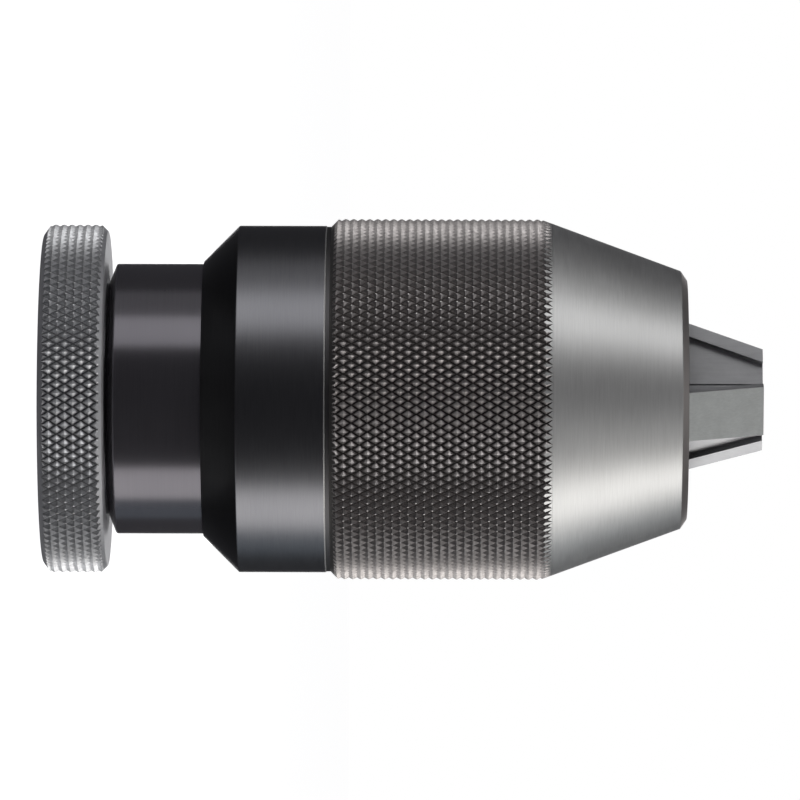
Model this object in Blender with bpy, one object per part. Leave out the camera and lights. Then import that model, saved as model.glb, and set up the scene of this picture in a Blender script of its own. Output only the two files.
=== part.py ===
"""Keyless self-tightening drill chuck, as an assembly of turned, threaded and milled pieces.

The axis is +Z, from the rear face at z = 0 to the jaw tips. The jaws are closed.
The body holds still. The sleeve, hood, jaw guide, jaws and feed spindle turn together around it, and the
spindle's left-hand thread in the body draws the jaws back and apart.
"""
import math

import bmesh
import bpy

MM = 0.001
STEPS = 48                      # facets round a turned piece
SPINDLE_STEPS = 36
GAP = 0.3 * MM                  # room between neighbouring pieces

# Overall layout along the axis
RING_FRONT_Z = 8.9 * MM
NECK_FRONT_Z = 28.0 * MM
SLEEVE_REAR_Z = 22.15 * MM
KNURL_REAR_Z = 39.9 * MM
SLEEVE_FRONT_Z = 69.9 * MM
HOOD_FRONT_Z = 89.2 * MM
JAW_TIP_Z = 99.7 * MM

# Outside radii
RING_RADIUS = 24.15 * MM
NECK_RADIUS = 18.75 * MM
BAND_RADIUS = 24.05 * MM
KNURL_RADIUS = 25.0 * MM
HOOD_REAR_RADIUS = 24.6 * MM
HOOD_FRONT_RADIUS = 17.9 * MM

# Tapered socket, Jacobs number 33
SOCKET_MOUTH_RADIUS = 7.925 * MM
SOCKET_END_RADIUS = 7.12 * MM
SOCKET_DEPTH = 25.4 * MM

# Body inside the sleeve
RING_SEAT_RADIUS = 16.0 * MM
BEARING_SEAT_RADIUS = 17.0 * MM
FLANGE_RADIUS = 21.9 * MM
FLANGE_REAR_Z = 36.7 * MM
FLANGE_FRONT_Z = 40.2 * MM
HUB_RADIUS = 13.0 * MM
HUB_FRONT_Z = 52.0 * MM
THREAD_REAR_Z = 40.0 * MM
RELIEF_RADIUS = 8.4 * MM
RELIEF_END_Z = 27.4 * MM

# Ball bearing between the body's flange and the sleeve's rear wall
BALL_COUNT = 28
BALL_RADIUS = 2.0 * MM
BALL_PITCH_RADIUS = 19.65 * MM
BALL_Z = 32.6 * MM
GROOVE_RADIUS = 2.25 * MM
RACE_FACE_OFFSET = 0.8 * MM     # race face to the plane of the ball centres
RACE_INNER_RADIUS = 17.3 * MM
RACE_OUTER_RADIUS = 22.0 * MM

# Sleeve bores
SLEEVE_REAR_BORE = 19.05 * MM
SLEEVE_CAVITY_RADIUS = 22.3 * MM
SLEEVE_FRONT_BORE = 23.3 * MM
SHOULDER_Z = 52.0 * MM

# Feed thread, left-hand
LEAD = 3.5 * MM
SCREW_MAJOR_RADIUS = 8.0 * MM
SCREW_MINOR_RADIUS = 6.7 * MM
RIDGE_HALF_WIDTH = 0.85 * MM    # at the minor radius
RIDGE_SLOPE = 0.192             # loss of half width for each unit of height
THREAD_CLEARANCE = 0.25 * MM
THREAD_STEPS = 18               # facets for each turn
THREAD_PHASE = math.radians(3.5)

# Feed spindle, jaws closed
SHANK_REAR_Z = 45.3 * MM
HEAD_RADIUS = 12.9 * MM
HEAD_REAR_Z = 71.0 * MM
HEAD_FRONT_Z = 77.5 * MM
HEAD_WELL_RADIUS = 3.6 * MM
HEAD_WELL_Z = 72.8 * MM
T_SLOT_START = 1.7 * MM

# Jaws, in the plane of the axis and the jaw's own radius
CONE_SLOPE = math.tan(math.radians(20.0))
JAW_ANGLES = (-76.5, 43.5, 163.5)
JAW_TIP_RADIUS = 6.36 * MM
JAW_EDGE_RADIUS = 0.4 * MM
JAW_REAR_Z = HEAD_FRONT_Z + GAP
JAW_FLANGE_WIDTH = 6.9 * MM
JAW_FLANGE_DEPTH = 1.915 * MM   # measured along the jaw's radius
JAW_WEB_WIDTH = 5.0 * MM
T_NECK_WIDTH = 3.0 * MM
T_INNER_RADIUS = 2.0 * MM
T_OUTER_RADIUS = 6.4 * MM
T_REAR_Z = 73.3 * MM
T_FRONT_Z = 75.5 * MM

# Hood and jaw guide
MOUTH_RADIUS = 11.1 * MM
SKIRT_RADIUS = 23.0 * MM
SKIRT_REAR_Z = 54.8 * MM
CONE_REAR_Z = 60.0 * MM
GUIDE_FLANGE_RADIUS = 22.9 * MM
GUIDE_BORE_RADIUS = 13.3 * MM
GUIDE_NOSE_BORE_RADIUS = 7.0 * MM
GUIDE_FRONT_Z = 84.0 * MM


def hood_cone_radius(z):
    """Radius of the hood's inner cone at height z."""
    return MOUTH_RADIUS + (HOOD_FRONT_Z - z) * CONE_SLOPE


def jaw_face_radius(z):
    """Distance of a jaw's outer face from the axis at height z."""
    return JAW_TIP_RADIUS + (JAW_TIP_Z - z) * CONE_SLOPE


def ridge_half_width(radius):
    """Half width of the screw's ridge at a radius."""
    return RIDGE_HALF_WIDTH - RIDGE_SLOPE * (radius - SCREW_MINOR_RADIUS)


def metal(name, colour, roughness):
    """A Principled metal."""
    material = bpy.data.materials.new(name)
    material.use_nodes = True
    shader = material.node_tree.nodes["Principled BSDF"]
    shader.inputs["Base Color"].default_value = (*colour, 1.0)
    shader.inputs["Roughness"].default_value = roughness
    shader.inputs["Metallic"].default_value = 1.0
    material.diffuse_color = (*colour, 1.0)
    return material


def add_object(name, bm, parent=None, material=None):
    """Turn a bmesh into a named object with its faces pointing out."""
    bmesh.ops.recalc_face_normals(bm, faces=bm.faces)
    mesh = bpy.data.meshes.new(name)
    bm.to_mesh(mesh)
    bm.free()
    mesh.shade_smooth()
    mesh.set_sharp_from_angle(angle=math.radians(30.0))
    piece = bpy.data.objects.new(name, mesh)
    bpy.context.scene.collection.objects.link(piece)
    piece.parent = parent
    if material is not None:
        mesh.materials.append(material)
    return piece


def add_pivot(name, parent=None):
    """An empty on the chuck's axis."""
    pivot = bpy.data.objects.new(name, None)
    bpy.context.scene.collection.objects.link(pivot)
    pivot.parent = parent
    return pivot


def turned(outline, steps=STEPS):
    """Spin an outline of (radius, z) points; one that starts on the axis stays open there."""
    bm = bmesh.new()
    points = [bm.verts.new((radius, 0.0, z)) for radius, z in outline]
    edges = [bm.edges.new(pair) for pair in zip(points, points[1:])]
    if outline[0][0] > 0.0:
        edges.append(bm.edges.new((points[-1], points[0])))
    bmesh.ops.spin(bm, geom=points + edges, cent=(0, 0, 0), axis=(0, 0, 1), angle=math.tau, steps=steps,
                   use_merge=True)
    bmesh.ops.remove_doubles(bm, verts=bm.verts, dist=1e-7)
    return bm


def prism(corners, start, end, place):
    """Extrude a flat polygon; place(a, b, c) gives a point from the corner (a, b) and the depth c."""
    bm = bmesh.new()
    face = bm.faces.new([bm.verts.new(place(a, b, start)) for a, b in corners])
    extruded = bmesh.ops.extrude_face_region(bm, geom=[face])["geom"]
    shift = [place(0, 0, end)[axis] - place(0, 0, start)[axis] for axis in range(3)]
    far_corners = [item for item in extruded if isinstance(item, bmesh.types.BMVert)]
    bmesh.ops.translate(bm, vec=shift, verts=far_corners)
    return bm


def side_view(radius, z, across):
    """Place a polygon drawn in the plane of the axis and a radius."""
    return (radius, across, z)


def end_view(radius, across, z):
    """Place a polygon drawn square to the axis."""
    return (radius, across, z)


def helical_bar(section, start_z, end_z):
    """Sweep a four-sided section of (radius, z offset) points along the left-hand helix."""
    bm = bmesh.new()
    count = math.ceil((end_z - start_z) / LEAD * THREAD_STEPS)
    rings = []
    for step in range(count + 1):
        angle = THREAD_PHASE - math.tau * step / THREAD_STEPS
        z = start_z + LEAD * step / THREAD_STEPS
        ring = [bm.verts.new((radius * math.cos(angle), radius * math.sin(angle), z + offset))
                for radius, offset in section]
        rings.append(ring)
    for near, far in zip(rings, rings[1:]):
        for side in range(len(section)):
            after = (side + 1) % len(section)
            bm.faces.new((near[side], near[after], far[after], far[side]))
    bm.faces.new(rings[0])
    bm.faces.new(rings[-1])
    bmesh.ops.triangulate(bm, faces=bm.faces)
    return bm


def cut(piece, cutters):
    """Cut a piece with hidden cutters."""
    for cutter in cutters:
        cutter.hide_render = True
        cutter.display_type = "WIRE"
        modifier = piece.modifiers.new(cutter.name, "BOOLEAN")
        modifier.operation = "DIFFERENCE"
        modifier.solver = "EXACT"
        modifier.object = cutter


def make_body():
    """Body: ring seat, neck, bearing flange and threaded hub, with the tapered socket at the rear."""
    mouth_chamfer = 0.5 * MM
    edge = 0.4 * MM
    neck_gap = 0.15 * MM
    neck_chamfer = 1.1 * MM
    minor = SCREW_MINOR_RADIUS + THREAD_CLEARANCE
    outline = [
        (0.0, SOCKET_DEPTH),
        (SOCKET_END_RADIUS, SOCKET_DEPTH),
        (SOCKET_MOUTH_RADIUS, mouth_chamfer),
        (SOCKET_MOUTH_RADIUS + mouth_chamfer, 0.0),
        (RING_SEAT_RADIUS - edge, 0.0),
        (RING_SEAT_RADIUS, edge),
        (RING_SEAT_RADIUS, RING_FRONT_Z + neck_gap),
        (NECK_RADIUS, RING_FRONT_Z + neck_gap + neck_chamfer),
        (NECK_RADIUS, NECK_FRONT_Z),
        (BEARING_SEAT_RADIUS, NECK_FRONT_Z),
        (BEARING_SEAT_RADIUS, FLANGE_REAR_Z),
        (FLANGE_RADIUS, FLANGE_REAR_Z),
        (FLANGE_RADIUS, FLANGE_FRONT_Z),
        (HUB_RADIUS, FLANGE_FRONT_Z),
        (HUB_RADIUS, HUB_FRONT_Z - edge),
        (HUB_RADIUS - edge, HUB_FRONT_Z),
        (minor + 1.5 * MM, HUB_FRONT_Z),
        (minor, HUB_FRONT_Z - 1.5 * MM),
        (minor, THREAD_REAR_Z),
        (RELIEF_RADIUS, THREAD_REAR_Z),
        (RELIEF_RADIUS, RELIEF_END_Z),
        (0.0, RELIEF_END_Z),
    ]
    body = add_object("chuck_body", turned(outline), None, metal("black_oxide", (0.035, 0.035, 0.04), 0.3))
    crest = SCREW_MAJOR_RADIUS + THREAD_CLEARANCE
    base = minor - THREAD_CLEARANCE
    section = [
        (base, -ridge_half_width(base) - THREAD_CLEARANCE),
        (crest, -ridge_half_width(crest) - THREAD_CLEARANCE),
        (crest, ridge_half_width(crest) + THREAD_CLEARANCE),
        (base, ridge_half_width(base) + THREAD_CLEARANCE),
    ]
    start = THREAD_REAR_Z - 1.5 * LEAD
    cutter = add_object("body_thread_cutter", helical_bar(section, start, HUB_FRONT_Z + LEAD))
    cut(body, [cutter])


def make_holding_ring():
    """Ring on the body's rear end, for a hand or a key to hold it still."""
    bore = RING_SEAT_RADIUS + GAP
    bore_chamfer = 0.7 * MM
    rear_chamfer_length = 1.0 * MM
    rear_chamfer_depth = 1.4 * MM
    front_chamfer = 0.95 * MM
    outline = [
        (bore, bore_chamfer),
        (bore + bore_chamfer, 0.0),
        (RING_RADIUS - rear_chamfer_depth, 0.0),
        (RING_RADIUS, rear_chamfer_length),
        (RING_RADIUS, RING_FRONT_Z - front_chamfer),
        (RING_RADIUS - front_chamfer, RING_FRONT_Z),
        (bore, RING_FRONT_Z),
    ]
    add_object("holding_ring", turned(outline), None, metal("bright_steel", (0.62, 0.62, 0.63), 0.3))


def make_sleeve(pivot):
    """Sleeve: rear wall, smooth band and gripping band in one turned piece."""
    wall_rise = BAND_RADIUS - SLEEVE_REAR_BORE
    chamfer = 1.0 * MM
    front_edge = 0.3 * MM
    groove_radius = BAND_RADIUS - 0.12 * MM
    groove_rear_z = KNURL_REAR_Z - 0.6 * MM
    outline = [
        (SLEEVE_REAR_BORE, SLEEVE_REAR_Z),
        (BAND_RADIUS, SLEEVE_REAR_Z + wall_rise),
        (BAND_RADIUS, groove_rear_z - 0.12 * MM),
        (groove_radius, groove_rear_z),
        (groove_radius, KNURL_REAR_Z),
        (KNURL_RADIUS - chamfer, KNURL_REAR_Z),
        (KNURL_RADIUS, KNURL_REAR_Z + chamfer),
        (KNURL_RADIUS, SLEEVE_FRONT_Z - front_edge),
        (KNURL_RADIUS - front_edge, SLEEVE_FRONT_Z),
        (SLEEVE_FRONT_BORE, SLEEVE_FRONT_Z),
        (SLEEVE_FRONT_BORE, SHOULDER_Z),
        (SLEEVE_CAVITY_RADIUS, SHOULDER_Z),
        (SLEEVE_CAVITY_RADIUS, NECK_FRONT_Z),
        (SLEEVE_REAR_BORE, NECK_FRONT_Z),
    ]
    add_object("knurled_sleeve", turned(outline), pivot, metal("blued_steel", (0.16, 0.15, 0.15), 0.38))


def make_hood(pivot):
    """Hood: outer cone, inner cone that the jaws slide in, and a skirt inside the sleeve."""
    nose_z = 88.3 * MM
    nose_radius = 16.6 * MM
    outline = [
        (MOUTH_RADIUS, HOOD_FRONT_Z),
        (hood_cone_radius(CONE_REAR_Z), CONE_REAR_Z),
        (hood_cone_radius(CONE_REAR_Z), SKIRT_REAR_Z),
        (SKIRT_RADIUS, SKIRT_REAR_Z),
        (SKIRT_RADIUS, SLEEVE_FRONT_Z + GAP),
        (HOOD_REAR_RADIUS, SLEEVE_FRONT_Z + GAP),
        (HOOD_FRONT_RADIUS, nose_z),
        (nose_radius, HOOD_FRONT_Z),
    ]
    add_object("nose_hood", turned(outline), pivot, metal("satin_steel", (0.6, 0.6, 0.6), 0.32))


def make_races(pivot):
    """The two grooved races, mirror images about the plane of the ball centres."""
    half_angle = math.acos(RACE_FACE_OFFSET / GROOVE_RADIUS)
    arc_steps = 6
    races = (("rear_race", -1.0, NECK_FRONT_Z + GAP, pivot), ("front_race", 1.0, FLANGE_REAR_Z - GAP, None))
    for name, side, back_z, parent in races:
        outline = [(RACE_INNER_RADIUS, back_z), (RACE_OUTER_RADIUS, back_z)]
        outline.append((RACE_OUTER_RADIUS, BALL_Z + side * RACE_FACE_OFFSET))
        for step in range(arc_steps + 1):
            angle = half_angle * (1.0 - 2.0 * step / arc_steps)
            radius = BALL_PITCH_RADIUS + GROOVE_RADIUS * math.sin(angle)
            outline.append((radius, BALL_Z + side * GROOVE_RADIUS * math.cos(angle)))
        outline.append((RACE_INNER_RADIUS, BALL_Z + side * RACE_FACE_OFFSET))
        add_object(name, turned(outline), parent, metal(name + "_steel", (0.55, 0.55, 0.56), 0.2))


def make_balls():
    """Loose bearing balls, one object each, on an empty that orbits between the races."""
    pivot = add_pivot("ball_pivot")
    steel = metal("ball_steel", (0.7, 0.7, 0.72), 0.1)
    for number in range(BALL_COUNT):
        bm = bmesh.new()
        bmesh.ops.create_icosphere(bm, subdivisions=2, radius=BALL_RADIUS)
        ball = add_object(f"bearing_ball_{number + 1:02d}", bm, pivot, steel)
        angle = math.tau * number / BALL_COUNT
        ball.location = (BALL_PITCH_RADIUS * math.cos(angle), BALL_PITCH_RADIUS * math.sin(angle), BALL_Z)


def make_spindle(pivot):
    """Feed spindle: left-hand screw with a head that holds the jaws in three radial T-slots."""
    chamfer = 1.7 * MM
    relief_z = HEAD_REAR_Z - 2.8 * MM
    relief_radius = SCREW_MINOR_RADIUS - 0.3 * MM
    outline = [
        (0.0, SHANK_REAR_Z),
        (SCREW_MINOR_RADIUS - 0.4 * MM, SHANK_REAR_Z),
        (SCREW_MAJOR_RADIUS, SHANK_REAR_Z + chamfer),
        (SCREW_MAJOR_RADIUS, relief_z),
        (relief_radius, relief_z),
        (relief_radius, HEAD_REAR_Z),
        (HEAD_RADIUS, HEAD_REAR_Z),
        (HEAD_RADIUS, HEAD_FRONT_Z),
        (HEAD_WELL_RADIUS, HEAD_FRONT_Z),
        (HEAD_WELL_RADIUS, HEAD_WELL_Z),
        (0.0, HEAD_WELL_Z),
    ]
    spindle_pivot = add_pivot("spindle_pivot", pivot)
    spindle = add_object("feed_spindle", turned(outline, SPINDLE_STEPS), spindle_pivot,
                         metal("spindle_steel", (0.4, 0.4, 0.41), 0.3))
    outer = SCREW_MAJOR_RADIUS + 0.5 * MM
    section = [
        (SCREW_MINOR_RADIUS, ridge_half_width(SCREW_MINOR_RADIUS) - LEAD / 2),
        (outer, ridge_half_width(outer) - LEAD / 2),
        (outer, LEAD / 2 - ridge_half_width(outer)),
        (SCREW_MINOR_RADIUS, LEAD / 2 - ridge_half_width(SCREW_MINOR_RADIUS)),
    ]
    start = THREAD_REAR_Z - LEAD
    groove_end = relief_z + 1.3 * MM
    cutters = [add_object("spindle_thread_cutter", helical_bar(section, start, groove_end), spindle_pivot)]
    reach = HEAD_RADIUS + 1.0 * MM
    for number, angle in enumerate(JAW_ANGLES, 1):
        slots = (
            ("t_slot", JAW_WEB_WIDTH / 2 + GAP, T_REAR_Z - GAP, T_FRONT_Z + GAP),
            ("neck_slot", T_NECK_WIDTH / 2 + GAP, T_REAR_Z, HEAD_FRONT_Z + 1.0 * MM),
        )
        for name, half_width, low_z, high_z in slots:
            corners = [(T_SLOT_START, -half_width), (reach, -half_width), (reach, half_width),
                       (T_SLOT_START, half_width)]
            bar = prism(corners, low_z, high_z, end_view)
            cutter = add_object(f"{name}_cutter_{number}", bar, spindle_pivot)
            cutter.rotation_euler.z = math.radians(angle)
            cutters.append(cutter)
    cut(spindle, cutters)


def make_jaw(number, angle, pivot):
    """One jaw: outer flange, web with a wedge-shaped clamping edge, and a T-head in the spindle."""
    jaw_pivot = add_pivot(f"jaw_{number}_pivot", pivot)
    jaw_pivot.rotation_euler.z = math.radians(angle)
    half_flange = JAW_FLANGE_WIDTH / 2
    half_web = JAW_WEB_WIDTH / 2
    outside = 10.0 * MM
    outline = [
        (JAW_EDGE_RADIUS, JAW_TIP_Z),
        (JAW_EDGE_RADIUS, JAW_REAR_Z),
        (T_INNER_RADIUS, JAW_REAR_Z),
        (T_INNER_RADIUS, T_REAR_Z),
        (T_OUTER_RADIUS, T_REAR_Z),
        (T_OUTER_RADIUS, JAW_REAR_Z),
        (jaw_face_radius(JAW_REAR_Z), JAW_REAR_Z),
        (JAW_TIP_RADIUS, JAW_TIP_Z),
    ]
    jaw = add_object(f"jaw_{number}", prism(outline, -half_flange, half_flange, side_view), jaw_pivot,
                     metal(f"jaw_{number}_steel", (0.5, 0.5, 0.51), 0.35))
    low_z = T_REAR_Z - 1.0 * MM
    high_z = JAW_TIP_Z + 1.0 * MM
    recess = [
        (-outside, low_z),
        (jaw_face_radius(low_z) - JAW_FLANGE_DEPTH, low_z),
        (jaw_face_radius(high_z) - JAW_FLANGE_DEPTH, high_z),
        (-outside, high_z),
    ]
    neck_front_z = JAW_REAR_Z + 0.2 * MM
    neck = [
        (T_INNER_RADIUS - 0.5 * MM, T_FRONT_Z),
        (T_OUTER_RADIUS + 0.5 * MM, T_FRONT_Z),
        (T_OUTER_RADIUS + 0.5 * MM, neck_front_z),
        (T_INNER_RADIUS - 0.5 * MM, neck_front_z),
    ]
    wedge_slope = math.tan(math.radians(60.0))
    wedge_start = GAP / 2 / math.sin(math.radians(60.0))
    cutters = []
    for side in (-1.0, 1.0):
        label = f"{number}_{'left' if side < 0 else 'right'}"
        wedge = [(-outside / 4, side * wedge_slope * (-outside / 4 - wedge_start)),
                 (outside / 2, side * wedge_slope * (outside / 2 - wedge_start)),
                 (-outside / 4, side * wedge_slope * (outside / 2 - wedge_start))]
        cutters.append(add_object(f"recess_cutter_{label}",
                                  prism(recess, side * half_web, side * outside, side_view), jaw_pivot))
        cutters.append(add_object(f"neck_cutter_{label}",
                                  prism(neck, side * T_NECK_WIDTH / 2, side * outside, side_view), jaw_pivot))
        cutters.append(add_object(f"wedge_cutter_{label}", prism(wedge, low_z, high_z, end_view), jaw_pivot))
    cut(jaw, cutters)


def make_jaw_guide(pivot):
    """Jaw guide: a flange between sleeve and hood, and three prongs with inclined T-slots between them."""
    cone_gap = GAP / math.cos(math.atan(CONE_SLOPE))
    inner_z = JAW_REAR_Z
    outline = [
        (GUIDE_BORE_RADIUS, SHOULDER_Z + GAP),
        (GUIDE_FLANGE_RADIUS, SHOULDER_Z + GAP),
        (GUIDE_FLANGE_RADIUS, SKIRT_REAR_Z - GAP),
        (hood_cone_radius(CONE_REAR_Z) - cone_gap, SKIRT_REAR_Z - GAP),
        (hood_cone_radius(CONE_REAR_Z) - cone_gap, CONE_REAR_Z),
        (hood_cone_radius(GUIDE_FRONT_Z) - cone_gap, GUIDE_FRONT_Z),
        (GUIDE_NOSE_BORE_RADIUS, GUIDE_FRONT_Z),
        (GUIDE_NOSE_BORE_RADIUS, inner_z),
        (GUIDE_BORE_RADIUS, inner_z),
    ]
    guide = add_object("jaw_guide", turned(outline), pivot, metal("guide_steel", (0.35, 0.35, 0.36), 0.35))
    high_z = GUIDE_FRONT_Z + 1.0 * MM
    reach = SLEEVE_CAVITY_RADIUS + 2.0 * MM
    floor = JAW_FLANGE_DEPTH + cone_gap
    flange_slot = [
        (jaw_face_radius(CONE_REAR_Z) - floor, CONE_REAR_Z),
        (reach, CONE_REAR_Z),
        (reach, high_z),
        (jaw_face_radius(high_z) - floor, high_z),
    ]
    web_slot = [(0.0, CONE_REAR_Z), (reach, CONE_REAR_Z), (reach, high_z), (0.0, high_z)]
    slots = (("flange", flange_slot, JAW_FLANGE_WIDTH), ("web", web_slot, JAW_WEB_WIDTH))
    cutters = []
    for number, angle in enumerate(JAW_ANGLES, 1):
        for name, corners, width in slots:
            half_width = width / 2 + GAP
            bar = prism(corners, -half_width, half_width, side_view)
            cutter = add_object(f"guide_{name}_cutter_{number}", bar, pivot)
            cutter.rotation_euler.z = math.radians(angle)
            cutters.append(cutter)
    cut(guide, cutters)


def main():
    for item in list(bpy.data.objects):
        bpy.data.objects.remove(item)
    sleeve_pivot = add_pivot("sleeve_pivot")
    make_body()
    make_holding_ring()
    make_sleeve(sleeve_pivot)
    make_hood(sleeve_pivot)
    make_races(sleeve_pivot)
    make_balls()
    make_spindle(sleeve_pivot)
    for number, angle in enumerate(JAW_ANGLES, 1):
        make_jaw(number, angle, sleeve_pivot)
    make_jaw_guide(sleeve_pivot)


main()
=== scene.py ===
"""Looks of the keyless drill chuck: finely turned, knurled, threaded and milled pieces on the CAD frame.

The chuck stands on its rear face with its axis on Z. Each piece replaces the CAD node that it is a finer
version of, and lengths are in metres.
"""
import math

import bmesh
import bpy
from mathutils import Matrix, Vector


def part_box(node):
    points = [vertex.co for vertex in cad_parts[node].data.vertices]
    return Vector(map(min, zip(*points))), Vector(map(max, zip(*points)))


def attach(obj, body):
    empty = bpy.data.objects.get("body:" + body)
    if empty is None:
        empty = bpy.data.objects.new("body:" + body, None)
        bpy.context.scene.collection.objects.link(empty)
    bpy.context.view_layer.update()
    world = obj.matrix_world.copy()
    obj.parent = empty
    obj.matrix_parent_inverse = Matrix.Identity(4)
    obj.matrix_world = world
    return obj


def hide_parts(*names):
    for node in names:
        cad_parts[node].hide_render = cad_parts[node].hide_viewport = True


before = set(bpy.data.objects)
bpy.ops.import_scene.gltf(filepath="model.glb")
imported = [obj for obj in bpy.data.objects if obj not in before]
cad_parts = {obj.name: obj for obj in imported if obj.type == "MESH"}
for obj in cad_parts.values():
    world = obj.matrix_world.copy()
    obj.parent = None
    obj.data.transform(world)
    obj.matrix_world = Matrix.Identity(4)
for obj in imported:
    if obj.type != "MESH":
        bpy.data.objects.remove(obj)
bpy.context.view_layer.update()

MM = 0.001

# Read from the frame
RING_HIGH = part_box("holding_ring")[1]
BODY_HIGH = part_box("chuck_body")[1]
SLEEVE_LOW, SLEEVE_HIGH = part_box("knurled_sleeve")
HOOD_LOW, HOOD_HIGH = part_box("nose_hood")
JAW_LOW, JAW_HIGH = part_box("jaw_1")
SPINDLE_LOW, SPINDLE_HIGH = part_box("feed_spindle")
GUIDE_LOW, GUIDE_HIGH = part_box("jaw_guide")
RING_RADIUS, RING_FRONT_Z = RING_HIGH.x, RING_HIGH.z
KNURL_RADIUS, SLEEVE_REAR_Z = SLEEVE_HIGH.x, SLEEVE_LOW.z
SKIRT_REAR_Z, HOOD_FRONT_Z = HOOD_LOW.z, HOOD_HIGH.z
JAW_TIP_Z, T_REAR_Z = JAW_HIGH.z, JAW_LOW.z
HEAD_RADIUS, SHANK_REAR_Z, HEAD_FRONT_Z = SPINDLE_HIGH.x, SPINDLE_LOW.z, SPINDLE_HIGH.z
GUIDE_FLANGE_RADIUS, GUIDE_REAR_Z, GUIDE_FRONT_Z = GUIDE_HIGH.x, GUIDE_LOW.z, GUIDE_HIGH.z
FLANGE_RADIUS, HUB_FRONT_Z = BODY_HIGH.x, BODY_HIGH.z

# Resolution
STEPS = 192                     # facets round a plain turned piece
THREAD_STEPS = 48               # facets for each turn of the screw
FILLET_STEPS = 4

# The same design values as the CAD model's
GAP = 0.3 * MM                  # room between neighbouring pieces
FIT_GAP = 0.05 * MM             # room between pieces that sit on each other
NECK_RADIUS = 18.75 * MM
NECK_FRONT_Z = 28.0 * MM
BAND_RADIUS = 24.05 * MM
KNURL_REAR_Z = 39.9 * MM
SLEEVE_REAR_BORE = 19.05 * MM
SLEEVE_CAVITY_RADIUS = 22.3 * MM
SLEEVE_FRONT_BORE = 23.3 * MM
SHOULDER_Z = 52.0 * MM
RING_SEAT_RADIUS = 16.0 * MM
BEARING_SEAT_RADIUS = 17.0 * MM
FLANGE_REAR_Z = 36.7 * MM
FLANGE_FRONT_Z = 40.2 * MM
HUB_RADIUS = 13.0 * MM
THREAD_REAR_Z = 40.0 * MM
RELIEF_RADIUS = 8.4 * MM
RELIEF_END_Z = 27.4 * MM
SOCKET_MOUTH_RADIUS = 7.925 * MM
SOCKET_END_RADIUS = 7.12 * MM
SOCKET_DEPTH = 25.4 * MM
BALL_COUNT = 28
BALL_RADIUS = 2.0 * MM
BALL_PITCH_RADIUS = 19.65 * MM
BALL_Z = 32.6 * MM
RACE_GROOVE_RADIUS = 2.25 * MM
RACE_FACE_OFFSET = 0.8 * MM
RACE_INNER_RADIUS = 17.3 * MM
RACE_OUTER_RADIUS = 22.0 * MM
LEAD = 3.5 * MM
SCREW_MAJOR_RADIUS = 8.0 * MM
SCREW_MINOR_RADIUS = 6.7 * MM
RIDGE_HALF_WIDTH = 0.85 * MM
RIDGE_SLOPE = 0.192
THREAD_CLEARANCE = 0.2 * MM
HEAD_REAR_Z = 71.0 * MM
HEAD_WELL_RADIUS = 3.6 * MM
HEAD_WELL_Z = 72.8 * MM
T_SLOT_START = 1.7 * MM
CONE_ANGLE = math.radians(20.0)
CONE_SLOPE = math.tan(CONE_ANGLE)
JAW_ANGLES = (-76.5, 43.5, 163.5)
JAW_TIP_RADIUS = 6.36 * MM
JAW_EDGE_RADIUS = 0.4 * MM
JAW_REAR_Z = HEAD_FRONT_Z + GAP
JAW_FLANGE_WIDTH = 6.9 * MM
JAW_FLANGE_DEPTH = 1.915 * MM
JAW_WEB_WIDTH = 5.0 * MM
T_NECK_WIDTH = 3.0 * MM
T_INNER_RADIUS = 2.0 * MM
T_OUTER_RADIUS = 6.4 * MM
T_FRONT_Z = 75.5 * MM
MOUTH_RADIUS = 11.1 * MM
SKIRT_RADIUS = 23.0 * MM
CONE_REAR_Z = 60.0 * MM
HOOD_NOSE_Z = 88.3 * MM
HOOD_NOSE_RADIUS = 17.9 * MM
HOOD_FACE_RADIUS = 16.6 * MM
CONE_START_Z = 68.9 * MM        # where the hood's cone, carried on over the sleeve, meets the knurl
JOIN_Z = 70.45 * MM
GUIDE_BORE_RADIUS = 13.3 * MM
GUIDE_NOSE_BORE_RADIUS = 7.0 * MM

# Diamond knurl, 30 degrees
KNURL_HALF_PITCH = 1.107 * MM   # along the axis, from a tooth's middle to its end
SLEEVE_TEETH = 126
RING_TEETH = 119
KNURL_DEPTH = 0.56 * MM
KNURL_OVERRUN = 0.6 * MM        # how far the knurl's cutter reaches past the band
NEAR = 0.05 * MM                # how far a face may be from where it is looked for
KNURL_TWIST = 0.37              # shift round the axis, in half pitches


# ---------------------------------------------------------------- shaping

def corner(radius, z, fillet=0.12):
    """A corner of a turned outline, with its edge break in millimetres."""
    return radius, z, fillet * MM


def with_fillets(outline, closed):
    """Round the corners of an outline of (radius, z, fillet) points."""
    points = []
    last = len(outline) - 1
    for index, (radius, z, fillet) in enumerate(outline):
        here = Vector((radius, z))
        is_end = not closed and index in (0, last)
        if fillet == 0.0 or is_end:
            points.append(here)
            continue
        before = Vector(outline[index - 1][:2]) - here
        after = Vector(outline[(index + 1) % len(outline)][:2]) - here
        start = here + before.normalized() * min(fillet, before.length * 0.45)
        end = here + after.normalized() * min(fillet, after.length * 0.45)
        for step in range(FILLET_STEPS + 1):
            t = step / FILLET_STEPS
            points.append(start * (1 - t) ** 2 + here * 2 * t * (1 - t) + end * t ** 2)
    return points


def add_object(name, bm):
    """Turn a bmesh into a named object with its faces pointing out."""
    bmesh.ops.recalc_face_normals(bm, faces=bm.faces)
    mesh = bpy.data.meshes.new(name)
    bm.to_mesh(mesh)
    bm.free()
    piece = bpy.data.objects.new(name, mesh)
    bpy.context.scene.collection.objects.link(piece)
    return piece


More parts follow.
